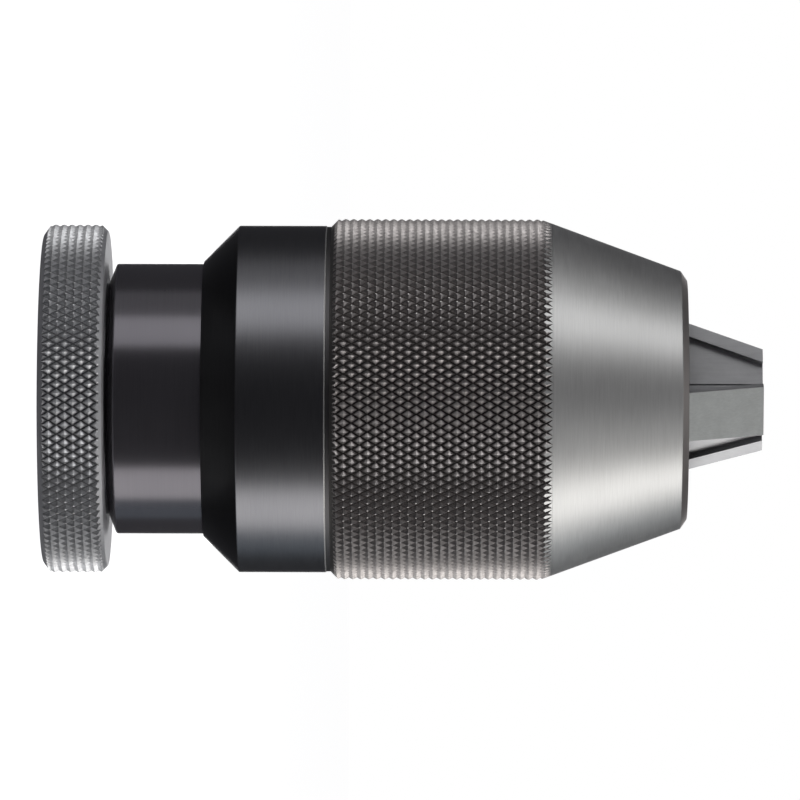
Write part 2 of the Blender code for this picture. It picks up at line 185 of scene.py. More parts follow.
def turned(outline, steps=STEPS):
    """Spin an outline; one that starts on the axis stays open there."""
    closed = outline[0][0] > 0.0
    bm = bmesh.new()
    points = [bm.verts.new((point.x, 0.0, point.y)) for point in with_fillets(outline, closed)]
    edges = [bm.edges.new(pair) for pair in zip(points, points[1:])]
    if closed:
        edges.append(bm.edges.new((points[-1], points[0])))
    bmesh.ops.spin(bm, geom=points + edges, cent=(0, 0, 0), axis=(0, 0, 1), angle=math.tau, steps=steps,
                   use_merge=True)
    bmesh.ops.remove_doubles(bm, verts=bm.verts, dist=1e-7)
    return bm


def prism(polygon, start, end, place):
    """Extrude a flat polygon; place(a, b, c) gives a point from the corner (a, b) and the depth c."""
    bm = bmesh.new()
    face = bm.faces.new([bm.verts.new(place(a, b, start)) for a, b in polygon])
    extruded = bmesh.ops.extrude_face_region(bm, geom=[face])["geom"]
    shift = [place(0, 0, end)[axis] - place(0, 0, start)[axis] for axis in range(3)]
    corners = [item for item in extruded if isinstance(item, bmesh.types.BMVert)]
    bmesh.ops.translate(bm, vec=shift, verts=corners)
    return bm


def side_view(radius, z, across):
    """Place a polygon drawn in the plane of the axis and a radius."""
    return (radius, across, z)


def end_view(radius, across, z):
    """Place a polygon drawn square to the axis."""
    return (radius, across, z)


def helical_bar(section, start_z, end_z):
    """Sweep a four-sided section of (radius, z offset) points along the left-hand helix."""
    bm = bmesh.new()
    count = math.ceil((end_z - start_z) / LEAD * THREAD_STEPS)
    rings = []
    for step in range(count + 1):
        angle = -math.tau * step / THREAD_STEPS
        z = start_z + LEAD * step / THREAD_STEPS
        rings.append([bm.verts.new((radius * math.cos(angle), radius * math.sin(angle), z + offset))
                      for radius, offset in section])
    for near, far in zip(rings, rings[1:]):
        for side in range(len(section)):
            after = (side + 1) % len(section)
            bm.faces.new((near[side], near[after], far[after], far[side]))
    bm.faces.new(rings[0])
    bm.faces.new(rings[-1])
    bmesh.ops.triangulate(bm, faces=bm.faces)
    return bm


def knurl_ring(teeth, radius, low_z, high_z):
    """A ring whose bore is a field of pyramids: cutting with it leaves diamond teeth standing."""
    bm = bmesh.new()
    columns = 2 * teeth
    rows = math.ceil((high_z - low_z) / KNURL_HALF_PITCH) + 1
    tip_radius = radius + 0.06 * MM         # just past the band, so each tooth keeps a small flat
    root_radius = radius - KNURL_DEPTH
    outer_radius = radius + 2.0 * MM        # well past the band
    turn = math.tau / columns

    def ring(z, even_radius, odd_radius):
        verts = []
        for i in range(columns):
            angle = (i + KNURL_TWIST) * turn
            reach = odd_radius if i % 2 else even_radius
            verts.append(bm.verts.new((reach * math.cos(angle), reach * math.sin(angle), z)))
        return verts

    field = []
    for row in range(rows):
        even_radius, odd_radius = (root_radius, tip_radius) if row % 2 else (tip_radius, root_radius)
        field.append(ring(low_z + row * KNURL_HALF_PITCH, even_radius, odd_radius))
    for row in range(rows - 1):
        for i in range(columns):
            after = (i + 1) % columns
            a, b = field[row][i], field[row][after]
            c, d = field[row + 1][after], field[row + 1][i]
            if (row + i) % 2:
                bm.faces.new((a, b, c))
                bm.faces.new((a, c, d))
            else:
                bm.faces.new((a, b, d))
                bm.faces.new((b, c, d))
    top_z = low_z + (rows - 1) * KNURL_HALF_PITCH
    low_ring = ring(low_z, outer_radius, outer_radius)
    high_ring = ring(top_z, outer_radius, outer_radius)
    for near, far in ((field[0], low_ring), (low_ring, high_ring), (high_ring, field[-1])):
        for i in range(columns):
            after = (i + 1) % columns
            bm.faces.new((near[i], near[after], far[after], far[i]))
    return bm


def cut(piece, cutters):
    """Cut a piece with cutters, and remove them."""
    for cutter in cutters:
        modifier = piece.modifiers.new(cutter.name, "BOOLEAN")
        modifier.operation = "DIFFERENCE"
        modifier.solver = "EXACT"
        modifier.object = cutter
    apply_modifiers(piece)
    for cutter in cutters:
        bpy.data.objects.remove(cutter)


def apply_modifiers(piece):
    """Replace a piece's mesh with what its modifiers make of it."""
    shaped = piece.evaluated_get(bpy.context.evaluated_depsgraph_get())
    mesh = bpy.data.meshes.new_from_object(shaped)
    piece.modifiers.clear()
    piece.data = mesh


def break_edges(piece, width):
    """Break a milled piece's sharp edges."""
    modifier = piece.modifiers.new("edge_break", "BEVEL")
    modifier.width = width
    modifier.segments = 2
    modifier.limit_method = "ANGLE"
    modifier.angle_limit = math.radians(35.0)
    apply_modifiers(piece)


def dress(piece, node, body, material, sharp=40.0):
    """Shade a piece, give it its material, attach it to its body and hide the CAD node that it stands for."""
    piece.data.shade_smooth()
    piece.data.set_sharp_from_angle(angle=math.radians(sharp))
    modifier = piece.modifiers.new("face_normals", "WEIGHTED_NORMAL")
    modifier.weight = 80
    modifier.keep_sharp = True
    apply_modifiers(piece)
    piece.data.materials.clear()
    piece.data.materials.append(material)
    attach(piece, body)
    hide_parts(node)
    return piece


def paint(piece, material, choose):
    """Give a material to the faces chosen by their radius, height and slope."""
    piece.data.materials.append(material)
    slot = len(piece.data.materials) - 1
    for face in piece.data.polygons:
        if choose(math.hypot(face.center.x, face.center.y), face.center.z, face.normal.z):
            face.material_index = slot


# ---------------------------------------------------------------- materials

class Graph:
    """A small helper that adds nodes to one material and links them."""

    def __init__(self, name):
        self.material = bpy.data.materials.new(name)
        self.material.use_nodes = True
        self.nodes = self.material.node_tree.nodes
        self.links = self.material.node_tree.links
        self.shader = self.nodes["Principled BSDF"]

    def add(self, kind, inputs=None, **settings):
        """Add a node with its settings and inputs."""
        node = self.nodes.new(kind)
        for name, value in settings.items():
            setattr(node, name, value)
        for name, value in (inputs or {}).items():
            self.plug(value, node.inputs[name])
        return node

    def plug(self, value, socket):
        """Link a socket's value, or set a plain one."""
        if isinstance(value, bpy.types.NodeSocket):
            self.links.new(value, socket)
        else:
            socket.default_value = value

    def position(self, scale):
        """The place on the piece, in units of 1 mm, stretched by a scale for each axis."""
        place = self.add("ShaderNodeTexCoord").outputs["Object"]
        factor = tuple(value / MM for value in scale)
        return self.add("ShaderNodeVectorMath", {0: place, 1: factor}, operation="MULTIPLY").outputs[0]

    def noise(self, scale, detail=3.0, roughness=0.6):
        """Noise whose grain is set for each axis, in grains a millimetre."""
        inputs = {"Vector": self.position(scale), "Scale": 1.0, "Detail": detail, "Roughness": roughness}
        return self.add("ShaderNodeTexNoise", inputs).outputs["Fac"]

    def remap(self, value, low, high, to_low, to_high):
        """Carry the range low to high over to another range, and stop at its ends."""
        inputs = {"Value": value, "From Min": low, "From Max": high, "To Min": to_low, "To Max": to_high}
        return self.add("ShaderNodeMapRange", inputs).outputs["Result"]

    def mix(self, factor, first, second):
        """Go from the first colour to the second as the factor goes from 0 to 1."""
        node = self.add("ShaderNodeMix", data_type="RGBA")
        self.plug(factor, node.inputs["Factor"])
        self.plug((*first, 1.0) if isinstance(first, tuple) else first, node.inputs[6])
        self.plug((*second, 1.0) if isinstance(second, tuple) else second, node.inputs[7])
        return node.outputs[2]

    def radius(self):
        """Distance from the chuck's axis, in metres."""
        place = self.add("ShaderNodeTexCoord").outputs["Object"]
        across = (1.0, 1.0, 0.0)
        flat = self.add("ShaderNodeVectorMath", {0: place, 1: across}, operation="MULTIPLY").outputs[0]
        return self.add("ShaderNodeVectorMath", {0: flat}, operation="LENGTH").outputs["Value"]

    def math(self, operation, *values):
        """Work out one step of arithmetic."""
        return self.add("ShaderNodeMath", dict(enumerate(values)), operation=operation).outputs[0]

    def knurl_height(self, teeth, low_z):
        """How far up a tooth a place is, from 0 in the grooves to 1 on the point."""
        place = self.add("ShaderNodeTexCoord").outputs["Object"]
        x, y, z = self.add("ShaderNodeSeparateXYZ", {0: place}).outputs
        column = self.math("MULTIPLY_ADD", self.math("ARCTAN2", y, x), 2 * teeth / math.tau, -KNURL_TWIST)
        row = self.math("MULTIPLY_ADD", z, 1 / KNURL_HALF_PITCH, -low_z / KNURL_HALF_PITCH)
        one_way = self.math("PINGPONG", self.math("ADD", column, row), 1.0)
        other_way = self.math("PINGPONG", self.math("SUBTRACT", column, row), 1.0)
        return self.math("SUBTRACT", 1.0, self.math("MAXIMUM", one_way, other_way))

    def bump(self, height, strength, distance):
        """Raise the surface's fine detail, without moving the mesh."""
        inputs = {"Height": height, "Strength": strength, "Distance": distance}
        self.links.new(self.add("ShaderNodeBump", inputs).outputs["Normal"], self.shader.inputs["Normal"])

    def metal(self, colour, roughness, metallic=1.0):
        """Finish the material as bare or coated metal."""
        self.plug(colour, self.shader.inputs["Base Color"])
        self.plug(roughness, self.shader.inputs["Roughness"])
        self.shader.inputs["Metallic"].default_value = metallic
        return self.material


AROUND = (0.25, 0.25, 7.0)      # grain of a surface brushed round the axis
FINE_TURNED = (0.12, 0.12, 14.0)


def brushed(name, light, dark, roughness, spread, grain=AROUND, depth=0.002, metallic=1.0):
    """Steel brushed or turned round the axis: streaks in colour, gloss and height, and a drift of tone."""
    graph = Graph(name)
    streaks = graph.noise(grain)
    drift = graph.noise((0.06, 0.06, 0.09), detail=2.0)
    tone = graph.math("ADD", graph.remap(streaks, 0.3, 0.7, 0.0, 0.6), graph.remap(drift, 0.3, 0.7, 0.0, 0.4))
    graph.bump(streaks, 0.35, depth * MM)
    gloss = graph.remap(streaks, 0.3, 0.7, roughness - spread, roughness + spread)
    return graph.metal(graph.mix(tone, dark, light), gloss, metallic)


def knurled(name, painted_groove_shade, flank, painted_tip_highlight, teeth, low_z, roughness):
    """Knurled steel: painted shade dark in the grooves, a painted highlight bright on the points, with fine
    specks from the rolling.
    """
    graph = Graph(name)
    height = graph.knurl_height(teeth, low_z)
    speck = graph.noise((2.4, 2.4, 2.4), detail=4.0, roughness=0.7)
    # Painted shade towards the groove bottoms, then a painted highlight towards the points.
    low = graph.mix(graph.remap(height, 0.03, 0.2, 0.0, 1.0), painted_groove_shade, flank)
    colour = graph.mix(graph.remap(height, 0.7, 1.0, 0.0, 1.0), low, painted_tip_highlight)
    speck_colour = tuple(value * 0.45 for value in flank)
    colour = graph.mix(graph.remap(speck, 0.4, 0.65, 0.0, 0.6), colour, speck_colour)
    graph.bump(speck, 0.5, 0.01 * MM)
    return graph.metal(colour, graph.remap(speck, 0.3, 0.7, roughness - 0.06, roughness + 0.08))


def knurl_end(name, dark, painted_line_highlight, teeth, low_z, radius):
    """The turned end of a knurled band: painted shade keeps it dark, with a painted highlight as a bright
    line where it cuts the teeth.
    """
    graph = Graph(name)
    height = graph.knurl_height(teeth, low_z)
    surface = graph.math("MULTIPLY_ADD", height, KNURL_DEPTH, radius - KNURL_DEPTH)
    distance = graph.math("ABSOLUTE", graph.math("SUBTRACT", surface, graph.radius()))
    return graph.metal(graph.mix(graph.remap(distance, 0.03 * MM, 0.1 * MM, 0.0, 1.0), painted_line_highlight, dark), 0.4)


def ground(name, light, dark, roughness, grain, depth=0.002):
    """Flat ground or milled steel, with straight marks along one direction."""
    graph = Graph(name)
    marks = graph.noise(grain, detail=4.0)
    mottle = graph.noise((0.5, 0.5, 0.5), detail=3.0)
    tone = graph.math("ADD", graph.remap(marks, 0.3, 0.7, 0.0, 0.6), graph.remap(mottle, 0.3, 0.7, 0.0, 0.4))
    graph.bump(marks, 0.3, depth * MM)
    gloss = graph.remap(marks, 0.3, 0.7, roughness - 0.05, roughness + 0.06)
    return graph.metal(graph.mix(tone, dark, light), gloss)


# ---------------------------------------------------------------- pieces

def hood_cone_radius(z):
    """Radius of the hood's inner cone, which the jaws slide on."""
    return MOUTH_RADIUS + (HOOD_FRONT_Z - z) * CONE_SLOPE


def jaw_face_radius(z):
    """Distance of a closed jaw's outer face from the axis."""
    return JAW_TIP_RADIUS + (JAW_TIP_Z - z) * CONE_SLOPE


def ridge_half_width(radius):
    """Half the width of the screw's ridge along the axis."""
    return RIDGE_HALF_WIDTH - RIDGE_SLOPE * (radius - SCREW_MINOR_RADIUS)


def make_body():
    """Body: ring seat, neck, bearing flange and threaded hub, with the tapered socket at the rear."""
    neck_start = RING_FRONT_Z + 0.15 * MM
    neck_bevel_length = 1.1 * MM
    socket_bevel = 0.5 * MM
    thread_bevel = 1.5 * MM
    minor = SCREW_MINOR_RADIUS + THREAD_CLEARANCE
    outline = [
        corner(0.0, SOCKET_DEPTH, 0.0),
        corner(SOCKET_END_RADIUS, SOCKET_DEPTH, 0.3),
        corner(SOCKET_MOUTH_RADIUS, socket_bevel, 0.1),
        corner(SOCKET_MOUTH_RADIUS + socket_bevel, 0.0, 0.1),
        corner(RING_SEAT_RADIUS, 0.0, 0.4),
        corner(RING_SEAT_RADIUS, neck_start, 0.1),
        corner(NECK_RADIUS, neck_start + neck_bevel_length, 0.25),
        corner(NECK_RADIUS, NECK_FRONT_Z, 0.2),
        corner(BEARING_SEAT_RADIUS, NECK_FRONT_Z, 0.3),
        corner(BEARING_SEAT_RADIUS, FLANGE_REAR_Z, 0.3),
        corner(FLANGE_RADIUS, FLANGE_REAR_Z, 0.3),
        corner(FLANGE_RADIUS, FLANGE_FRONT_Z, 0.4),
        corner(HUB_RADIUS, FLANGE_FRONT_Z, 0.5),
        corner(HUB_RADIUS, HUB_FRONT_Z, 0.5),
        corner(minor + thread_bevel, HUB_FRONT_Z, 0.1),
        corner(minor, HUB_FRONT_Z - thread_bevel, 0.1),
        corner(minor, THREAD_REAR_Z, 0.0),
        corner(RELIEF_RADIUS, THREAD_REAR_Z, 0.2),
        corner(RELIEF_RADIUS, RELIEF_END_Z, 0.5),
        corner(0.0, RELIEF_END_Z, 0.0),
    ]
    body = add_object("chuck_body_turned", turned(outline))
    crest = SCREW_MAJOR_RADIUS + THREAD_CLEARANCE
    base = minor - THREAD_CLEARANCE
    section = [
        (base, -ridge_half_width(base) - THREAD_CLEARANCE),
        (crest, -ridge_half_width(crest) - THREAD_CLEARANCE),
        (crest, ridge_half_width(crest) + THREAD_CLEARANCE),
        (base, ridge_half_width(base) + THREAD_CLEARANCE),
    ]
    start = THREAD_REAR_Z - 1.5 * LEAD
    cut(body, [add_object("thread_cutter", helical_bar(section, start, HUB_FRONT_Z + LEAD))])
    light, dark = (0.105, 0.1, 0.112), (0.085, 0.08, 0.092)
    material = brushed("black_oxide_gloss", light, dark, 0.22, 0.015, FINE_TURNED, 0.0006, 0.65)
    dress(body, "chuck_body", "body", material)


def make_holding_ring():
    """Ring pressed on the body: a knurled rim between two bevels."""
    bore = RING_SEAT_RADIUS + FIT_GAP
    rear_bevel_depth = 1.4 * MM
    rear_bevel_length = 1.0 * MM
    front_bevel = 0.95 * MM
    bore_bevel_depth = 1.2 * MM
    bore_bevel_length = 0.5 * MM
    outline = [
        corner(bore, 0.0, 0.5),
        corner(RING_RADIUS - rear_bevel_depth, 0.0, 0.2),
        corner(RING_RADIUS, rear_bevel_length, 0.15),
        corner(RING_RADIUS, RING_FRONT_Z - front_bevel, 0.12),
        corner(RING_RADIUS - front_bevel, RING_FRONT_Z, 0.12),
        corner(bore + bore_bevel_depth, RING_FRONT_Z, 0.1),
        corner(bore, RING_FRONT_Z - bore_bevel_length, 0.1),
    ]
    ring = add_object("holding_ring_knurled", turned(outline, 2 * RING_TEETH))
    low_z = -KNURL_OVERRUN
    knurl = knurl_ring(RING_TEETH, RING_RADIUS, low_z, RING_FRONT_Z + KNURL_OVERRUN)
    cut(ring, [add_object("ring_knurl", knurl)])
    plain = brushed("ring_plain_steel", (0.82, 0.82, 0.84), (0.7, 0.7, 0.72), 0.5, 0.05)
    # Painted shade in the grooves (first colour) and a painted highlight on the points (last colour); the
    # middle one is the ring's own steel.
    painted_groove_shade, flank, painted_tip_highlight = (0.3, 0.3, 0.31), (0.64, 0.645, 0.66), (0.74, 0.745, 0.76)
    teeth = knurled("ring_knurled_steel", painted_groove_shade, flank, painted_tip_highlight, RING_TEETH, low_z, 0.4)
    dress(ring, "holding_ring", "body", plain, sharp=20.0)

    def is_tooth(radius, z, normal_z):
        on_rim = radius > RING_RADIUS - KNURL_DEPTH - NEAR
        return on_rim and 0.0 < z < RING_FRONT_Z and abs(normal_z) < 0.62

    paint(ring, teeth, is_tooth)


def make_sleeve(hood_material):
    """Sleeve: sloping rear wall, smooth band, shallow groove, knurled band and the hood cone's first part."""
    wall_rise = BAND_RADIUS - SLEEVE_REAR_BORE
    wall_front_z = SLEEVE_REAR_Z + wall_rise
    band_front_z = KNURL_REAR_Z - 0.76 * MM
    groove_rear_z = KNURL_REAR_Z - 0.6 * MM
    groove_radius = BAND_RADIUS - 0.12 * MM
    bevel = 1.0 * MM
    outline = [
        corner(SLEEVE_REAR_BORE, SLEEVE_REAR_Z, 0.1),
        corner(BAND_RADIUS, wall_front_z, 0.12),
        corner(BAND_RADIUS, band_front_z, 0.03),
        corner(groove_radius, groove_rear_z, 0.03),
        corner(groove_radius, KNURL_REAR_Z, 0.05),
        corner(KNURL_RADIUS - bevel, KNURL_REAR_Z, 0.06),
        corner(KNURL_RADIUS, KNURL_REAR_Z + bevel, 0.0),
        corner(KNURL_RADIUS, CONE_START_Z, 0.0),
        corner(KNURL_RADIUS - KNURL_DEPTH, JOIN_Z, 0.0),
        corner(SLEEVE_FRONT_BORE, JOIN_Z, 0.2),
        corner(SLEEVE_FRONT_BORE, SHOULDER_Z, 0.2),
        corner(SLEEVE_CAVITY_RADIUS, SHOULDER_Z, 0.2),
        corner(SLEEVE_CAVITY_RADIUS, NECK_FRONT_Z, 0.3),
        corner(SLEEVE_REAR_BORE, NECK_FRONT_Z, 0.2),
    ]
    sleeve = add_object("sleeve_knurled", turned(outline, 2 * SLEEVE_TEETH))
    low_z = KNURL_REAR_Z - 0.25 * KNURL_HALF_PITCH
    knurl = knurl_ring(SLEEVE_TEETH, KNURL_RADIUS, low_z, JOIN_Z + KNURL_OVERRUN)
    cut(sleeve, [add_object("sleeve_knurl", knurl)])
    plain = brushed("sleeve_blued_steel", (0.155, 0.155, 0.165), (0.125, 0.125, 0.135), 0.34, 0.02)
    # Painted shade in the grooves (first colour) and a painted highlight on the points (last colour); the
    # middle one is the sleeve's own steel.
    painted_groove_shade, flank, painted_tip_highlight = (0.19, 0.173, 0.168), (0.43, 0.405, 0.398), (0.62, 0.6, 0.59)
    teeth = knurled("sleeve_knurled_steel", painted_groove_shade, flank, painted_tip_highlight, SLEEVE_TEETH, low_z, 0.36)
    # Painted shade on the knurl's rear bevel, and a painted highlight along the line where it meets the
    # teeth.
    dark, rear_end_highlight = (0.2, 0.19, 0.182), (0.6, 0.575, 0.56)
    end = knurl_end("sleeve_knurl_end", dark, rear_end_highlight, SLEEVE_TEETH, low_z, KNURL_RADIUS)
    # Painted shade: the sloping rear wall is painted near black, standing in for the dark it faces.
    black = brushed("sleeve_rear_black", (0.05, 0.05, 0.052), (0.04, 0.04, 0.042), 0.3, 0.02)
    groove = brushed("sleeve_groove_steel", (0.085, 0.083, 0.085), (0.07, 0.068, 0.07), 0.5, 0.02)
    # Painted highlight: a light colour on the slope at the band's front arris, standing in for the light that
    # edge catches.
    edge = ground("sleeve_edge_painted_highlight", (0.6, 0.595, 0.59), (0.42, 0.42, 0.42), 0.5, (3.0, 3.0, 3.0))
    dress(sleeve, "knurled_sleeve", "sleeve", plain, sharp=20.0)

    def is_tooth(radius, z, normal_z):
        on_knurl = radius > KNURL_RADIUS - KNURL_DEPTH - NEAR
        return on_knurl and z > KNURL_REAR_Z and abs(normal_z) < 0.95

    def is_rear_end(radius, z, normal_z):
        on_bevel = band_front_z < z < KNURL_REAR_Z + bevel - NEAR
        return on_bevel and radius > SLEEVE_FRONT_BORE and normal_z < -0.62

    def is_rear_wall(radius, z, normal_z):
        return z < wall_front_z - 2 * NEAR

    def is_groove(radius, z, normal_z):
        return band_front_z < z < KNURL_REAR_Z + 2 * NEAR and radius > SLEEVE_FRONT_BORE

    def is_edge(radius, z, normal_z):
        on_slope = band_front_z - NEAR < z < groove_rear_z and radius > groove_radius
        return on_slope and 0.3 < normal_z < 0.95

    def is_front_cone(radius, z, normal_z):
        cone_radius = KNURL_RADIUS - KNURL_DEPTH * (z - CONE_START_Z) / (JOIN_Z - CONE_START_Z)
        return z > CONE_START_Z and abs(radius - cone_radius) < 0.02 * MM and 0.2 < normal_z < 0.5

    paint(sleeve, teeth, is_tooth)
    paint(sleeve, black, is_rear_wall)
    paint(sleeve, groove, is_groove)
    paint(sleeve, end, is_rear_end)
    paint(sleeve, edge, is_edge)
    paint(sleeve, hood_material, is_front_cone)


def make_hood(material):
    """Hood: satin outer cone, a darker bevel at its nose, and the inner cone and skirt."""
    join_z = JOIN_Z + 0.02 * MM
    outline = [
        corner(MOUTH_RADIUS, HOOD_FRONT_Z, 0.2),
        corner(hood_cone_radius(CONE_REAR_Z), CONE_REAR_Z, 0.3),
        corner(hood_cone_radius(CONE_REAR_Z), SKIRT_REAR_Z, 0.2),
        corner(SKIRT_RADIUS, SKIRT_REAR_Z, 0.3),
        corner(SKIRT_RADIUS, join_z, 0.1),
        corner(KNURL_RADIUS - KNURL_DEPTH, join_z, 0.0),
        corner(HOOD_NOSE_RADIUS, HOOD_NOSE_Z, 0.1),
        corner(HOOD_FACE_RADIUS, HOOD_FRONT_Z, 0.1),
    ]
    hood = add_object("nose_hood_turned", turned(outline))
    dress(hood, "nose_hood", "sleeve", material)
    nose = brushed("hood_nose_steel", (0.58, 0.542, 0.522), (0.5, 0.466, 0.448), 0.42, 0.04)

    def is_nose_bevel(radius, z, normal_z):
        return z > HOOD_NOSE_Z + NEAR and 0.5 < normal_z < 0.95

    paint(hood, nose, is_nose_bevel)


def make_races():
    """The two grooved races, mirror images about the plane of the ball centres."""
    half_angle = math.acos(RACE_FACE_OFFSET / RACE_GROOVE_RADIUS)
    arc_steps = 16
    material = brushed("race_ground_steel", (0.62, 0.62, 0.63), (0.52, 0.52, 0.53), 0.16, 0.03)
    races = (
        ("rear_race", -1.0, NECK_FRONT_Z + FIT_GAP, "sleeve"),
        ("front_race", 1.0, FLANGE_REAR_Z - FIT_GAP, "body"),
    )
    for name, side, back_z, body in races:
        face_z = BALL_Z + side * RACE_FACE_OFFSET
        outline = [
            corner(RACE_INNER_RADIUS, back_z, 0.2),
            corner(RACE_OUTER_RADIUS, back_z, 0.3),
            corner(RACE_OUTER_RADIUS, face_z, 0.1),
        ]
        for step in range(arc_steps + 1):
            angle = half_angle * (1.0 - 2.0 * step / arc_steps)
            radius = BALL_PITCH_RADIUS + RACE_GROOVE_RADIUS * math.sin(angle)
            outline.append(corner(radius, BALL_Z + side * RACE_GROOVE_RADIUS * math.cos(angle), 0.0))
        outline.append(corner(RACE_INNER_RADIUS, face_z, 0.1))
        race = add_object(f"{name}_ground", turned(outline))
        dress(race, name, body, material)


def make_balls():
    """The loose balls between the races, evenly spaced."""
    light, dark = (0.74, 0.74, 0.76), (0.68, 0.68, 0.70)
    material = ground("ball_polished_steel", light, dark, 0.1, (2.0, 2.0, 2.0), 0.0003)
    for number in range(BALL_COUNT):
        bm = bmesh.new()
        bmesh.ops.create_icosphere(bm, subdivisions=4, radius=BALL_RADIUS)
        angle = math.tau * number / BALL_COUNT
        place = (BALL_PITCH_RADIUS * math.cos(angle), BALL_PITCH_RADIUS * math.sin(angle), BALL_Z)
        bmesh.ops.translate(bm, vec=place, verts=bm.verts)
        name = f"bearing_ball_{number + 1:02d}"
        dress(add_object(f"{name}_polished", bm), name, "balls", material)


def make_spindle():
    """Left-hand screw, with a head whose three radial T-slots carry the jaws."""
    relief_z = HEAD_REAR_Z - 2.8 * MM       # where the thread ends, behind the head
    groove_end_z = relief_z + 1.3 * MM
    relief_radius = SCREW_MINOR_RADIUS - 0.3 * MM
    outline = [
        corner(0.0, SHANK_REAR_Z, 0.0),
        corner(SCREW_MINOR_RADIUS - 0.4 * MM, SHANK_REAR_Z, 0.1),
        corner(SCREW_MAJOR_RADIUS, SHANK_REAR_Z + 1.7 * MM, 0.1),
        corner(SCREW_MAJOR_RADIUS, relief_z, 0.1),
        corner(relief_radius, relief_z, 0.2),
        corner(relief_radius, HEAD_REAR_Z, 0.4),
        corner(HEAD_RADIUS, HEAD_REAR_Z, 0.4),
        corner(HEAD_RADIUS, HEAD_FRONT_Z, 0.4),
        corner(HEAD_WELL_RADIUS, HEAD_FRONT_Z, 0.1),
        corner(HEAD_WELL_RADIUS, HEAD_WELL_Z, 0.2),
        corner(0.0, HEAD_WELL_Z, 0.0),
    ]
    spindle = add_object("feed_spindle_threaded", turned(outline))
    outer = SCREW_MAJOR_RADIUS + 0.5 * MM
    section = [
        (SCREW_MINOR_RADIUS, ridge_half_width(SCREW_MINOR_RADIUS) - LEAD / 2),
        (outer, ridge_half_width(outer) - LEAD / 2),
        (outer, LEAD / 2 - ridge_half_width(outer)),
        (SCREW_MINOR_RADIUS, LEAD / 2 - ridge_half_width(SCREW_MINOR_RADIUS)),
    ]
    groove = helical_bar(section, THREAD_REAR_Z - LEAD, groove_end_z)
    cutters = [add_object("groove_cutter", groove)]
    reach = HEAD_RADIUS + 1.0 * MM
    side_gap = 0.2 * MM
    slots = (
        (JAW_WEB_WIDTH / 2 + side_gap, T_REAR_Z - GAP, T_FRONT_Z + GAP),
        (T_NECK_WIDTH / 2 + side_gap, T_REAR_Z, HEAD_FRONT_Z + 1.0 * MM),
    )
    for angle in JAW_ANGLES:
        for half_width, low_z, high_z in slots:
            slot = [
                (T_SLOT_START, -half_width),
                (reach, -half_width),
                (reach, half_width),
                (T_SLOT_START, half_width),
            ]
            cutter = add_object("slot_cutter", prism(slot, low_z, high_z, end_view))
            cutter.rotation_euler.z = math.radians(angle)
            cutters.append(cutter)
    cut(spindle, cutters)
    material = brushed("spindle_hardened_steel", (0.42, 0.42, 0.43), (0.33, 0.33, 0.34), 0.26, 0.04)
    dress(spindle, "feed_spindle", "spindle", material, sharp=25.0)


def make_jaw(number, angle, material, face_material):
    """One jaw: T-section, gripping wedge at the axis, and a foot for the spindle's T-slot."""
    half_flange = JAW_FLANGE_WIDTH / 2
    outside = 10.0 * MM         # well past the jaw, where a cutter ends
    outline = [
        (JAW_EDGE_RADIUS, JAW_TIP_Z),
        (JAW_EDGE_RADIUS, JAW_REAR_Z),
        (T_INNER_RADIUS, JAW_REAR_Z),
        (T_INNER_RADIUS, T_REAR_Z),
        (T_OUTER_RADIUS, T_REAR_Z),
        (T_OUTER_RADIUS, JAW_REAR_Z),
        (jaw_face_radius(JAW_REAR_Z), JAW_REAR_Z),
        (JAW_TIP_RADIUS, JAW_TIP_Z),
    ]
    jaw = add_object(f"jaw_{number}_ground", prism(outline, -half_flange, half_flange, side_view))
    low_z = T_REAR_Z - 1.0 * MM
    high_z = JAW_TIP_Z + 1.0 * MM
    recess = [
        (-outside, low_z),
        (jaw_face_radius(low_z) - JAW_FLANGE_DEPTH, low_z),
        (jaw_face_radius(high_z) - JAW_FLANGE_DEPTH, high_z),
        (-outside, high_z),
    ]
    neck_front_z = JAW_REAR_Z + 0.2 * MM
    neck = [
        (T_INNER_RADIUS - 0.5 * MM, T_FRONT_Z),
        (T_OUTER_RADIUS + 0.5 * MM, T_FRONT_Z),
        (T_OUTER_RADIUS + 0.5 * MM, neck_front_z),
        (T_INNER_RADIUS - 0.5 * MM, neck_front_z),
    ]
    wedge_angle = math.radians(60.0)
    wedge_slope = math.tan(wedge_angle)
    wedge_start = 0.1 * MM / math.sin(wedge_angle)
    inner, outer = -outside / 4, outside / 2
    cutters = []
    for side in (-1.0, 1.0):
        wedge = [
            (inner, side * wedge_slope * (inner - wedge_start)),
            (outer, side * wedge_slope * (outer - wedge_start)),
            (inner, side * wedge_slope * (outer - wedge_start)),
        ]
        shapes = (
            ("recess_cutter", prism(recess, side * JAW_WEB_WIDTH / 2, side * outside, side_view)),
            ("neck_cutter", prism(neck, side * T_NECK_WIDTH / 2, side * outside, side_view)),
            ("wedge_cutter", prism(wedge, low_z, high_z, end_view)),
        )
        cutters.extend(add_object(name, shape) for name, shape in shapes)
    cut(jaw, cutters)
    break_edges(jaw, 0.1 * MM)
    jaw.data.transform(Matrix.Rotation(math.radians(angle), 4, "Z"))
    dress(jaw, f"jaw_{number}", f"jaw_{number}", material)

    def is_outer_face(radius, z, normal_z):
        return abs(normal_z - math.sin(CONE_ANGLE)) < 0.01

    paint(jaw, face_material, is_outer_face)


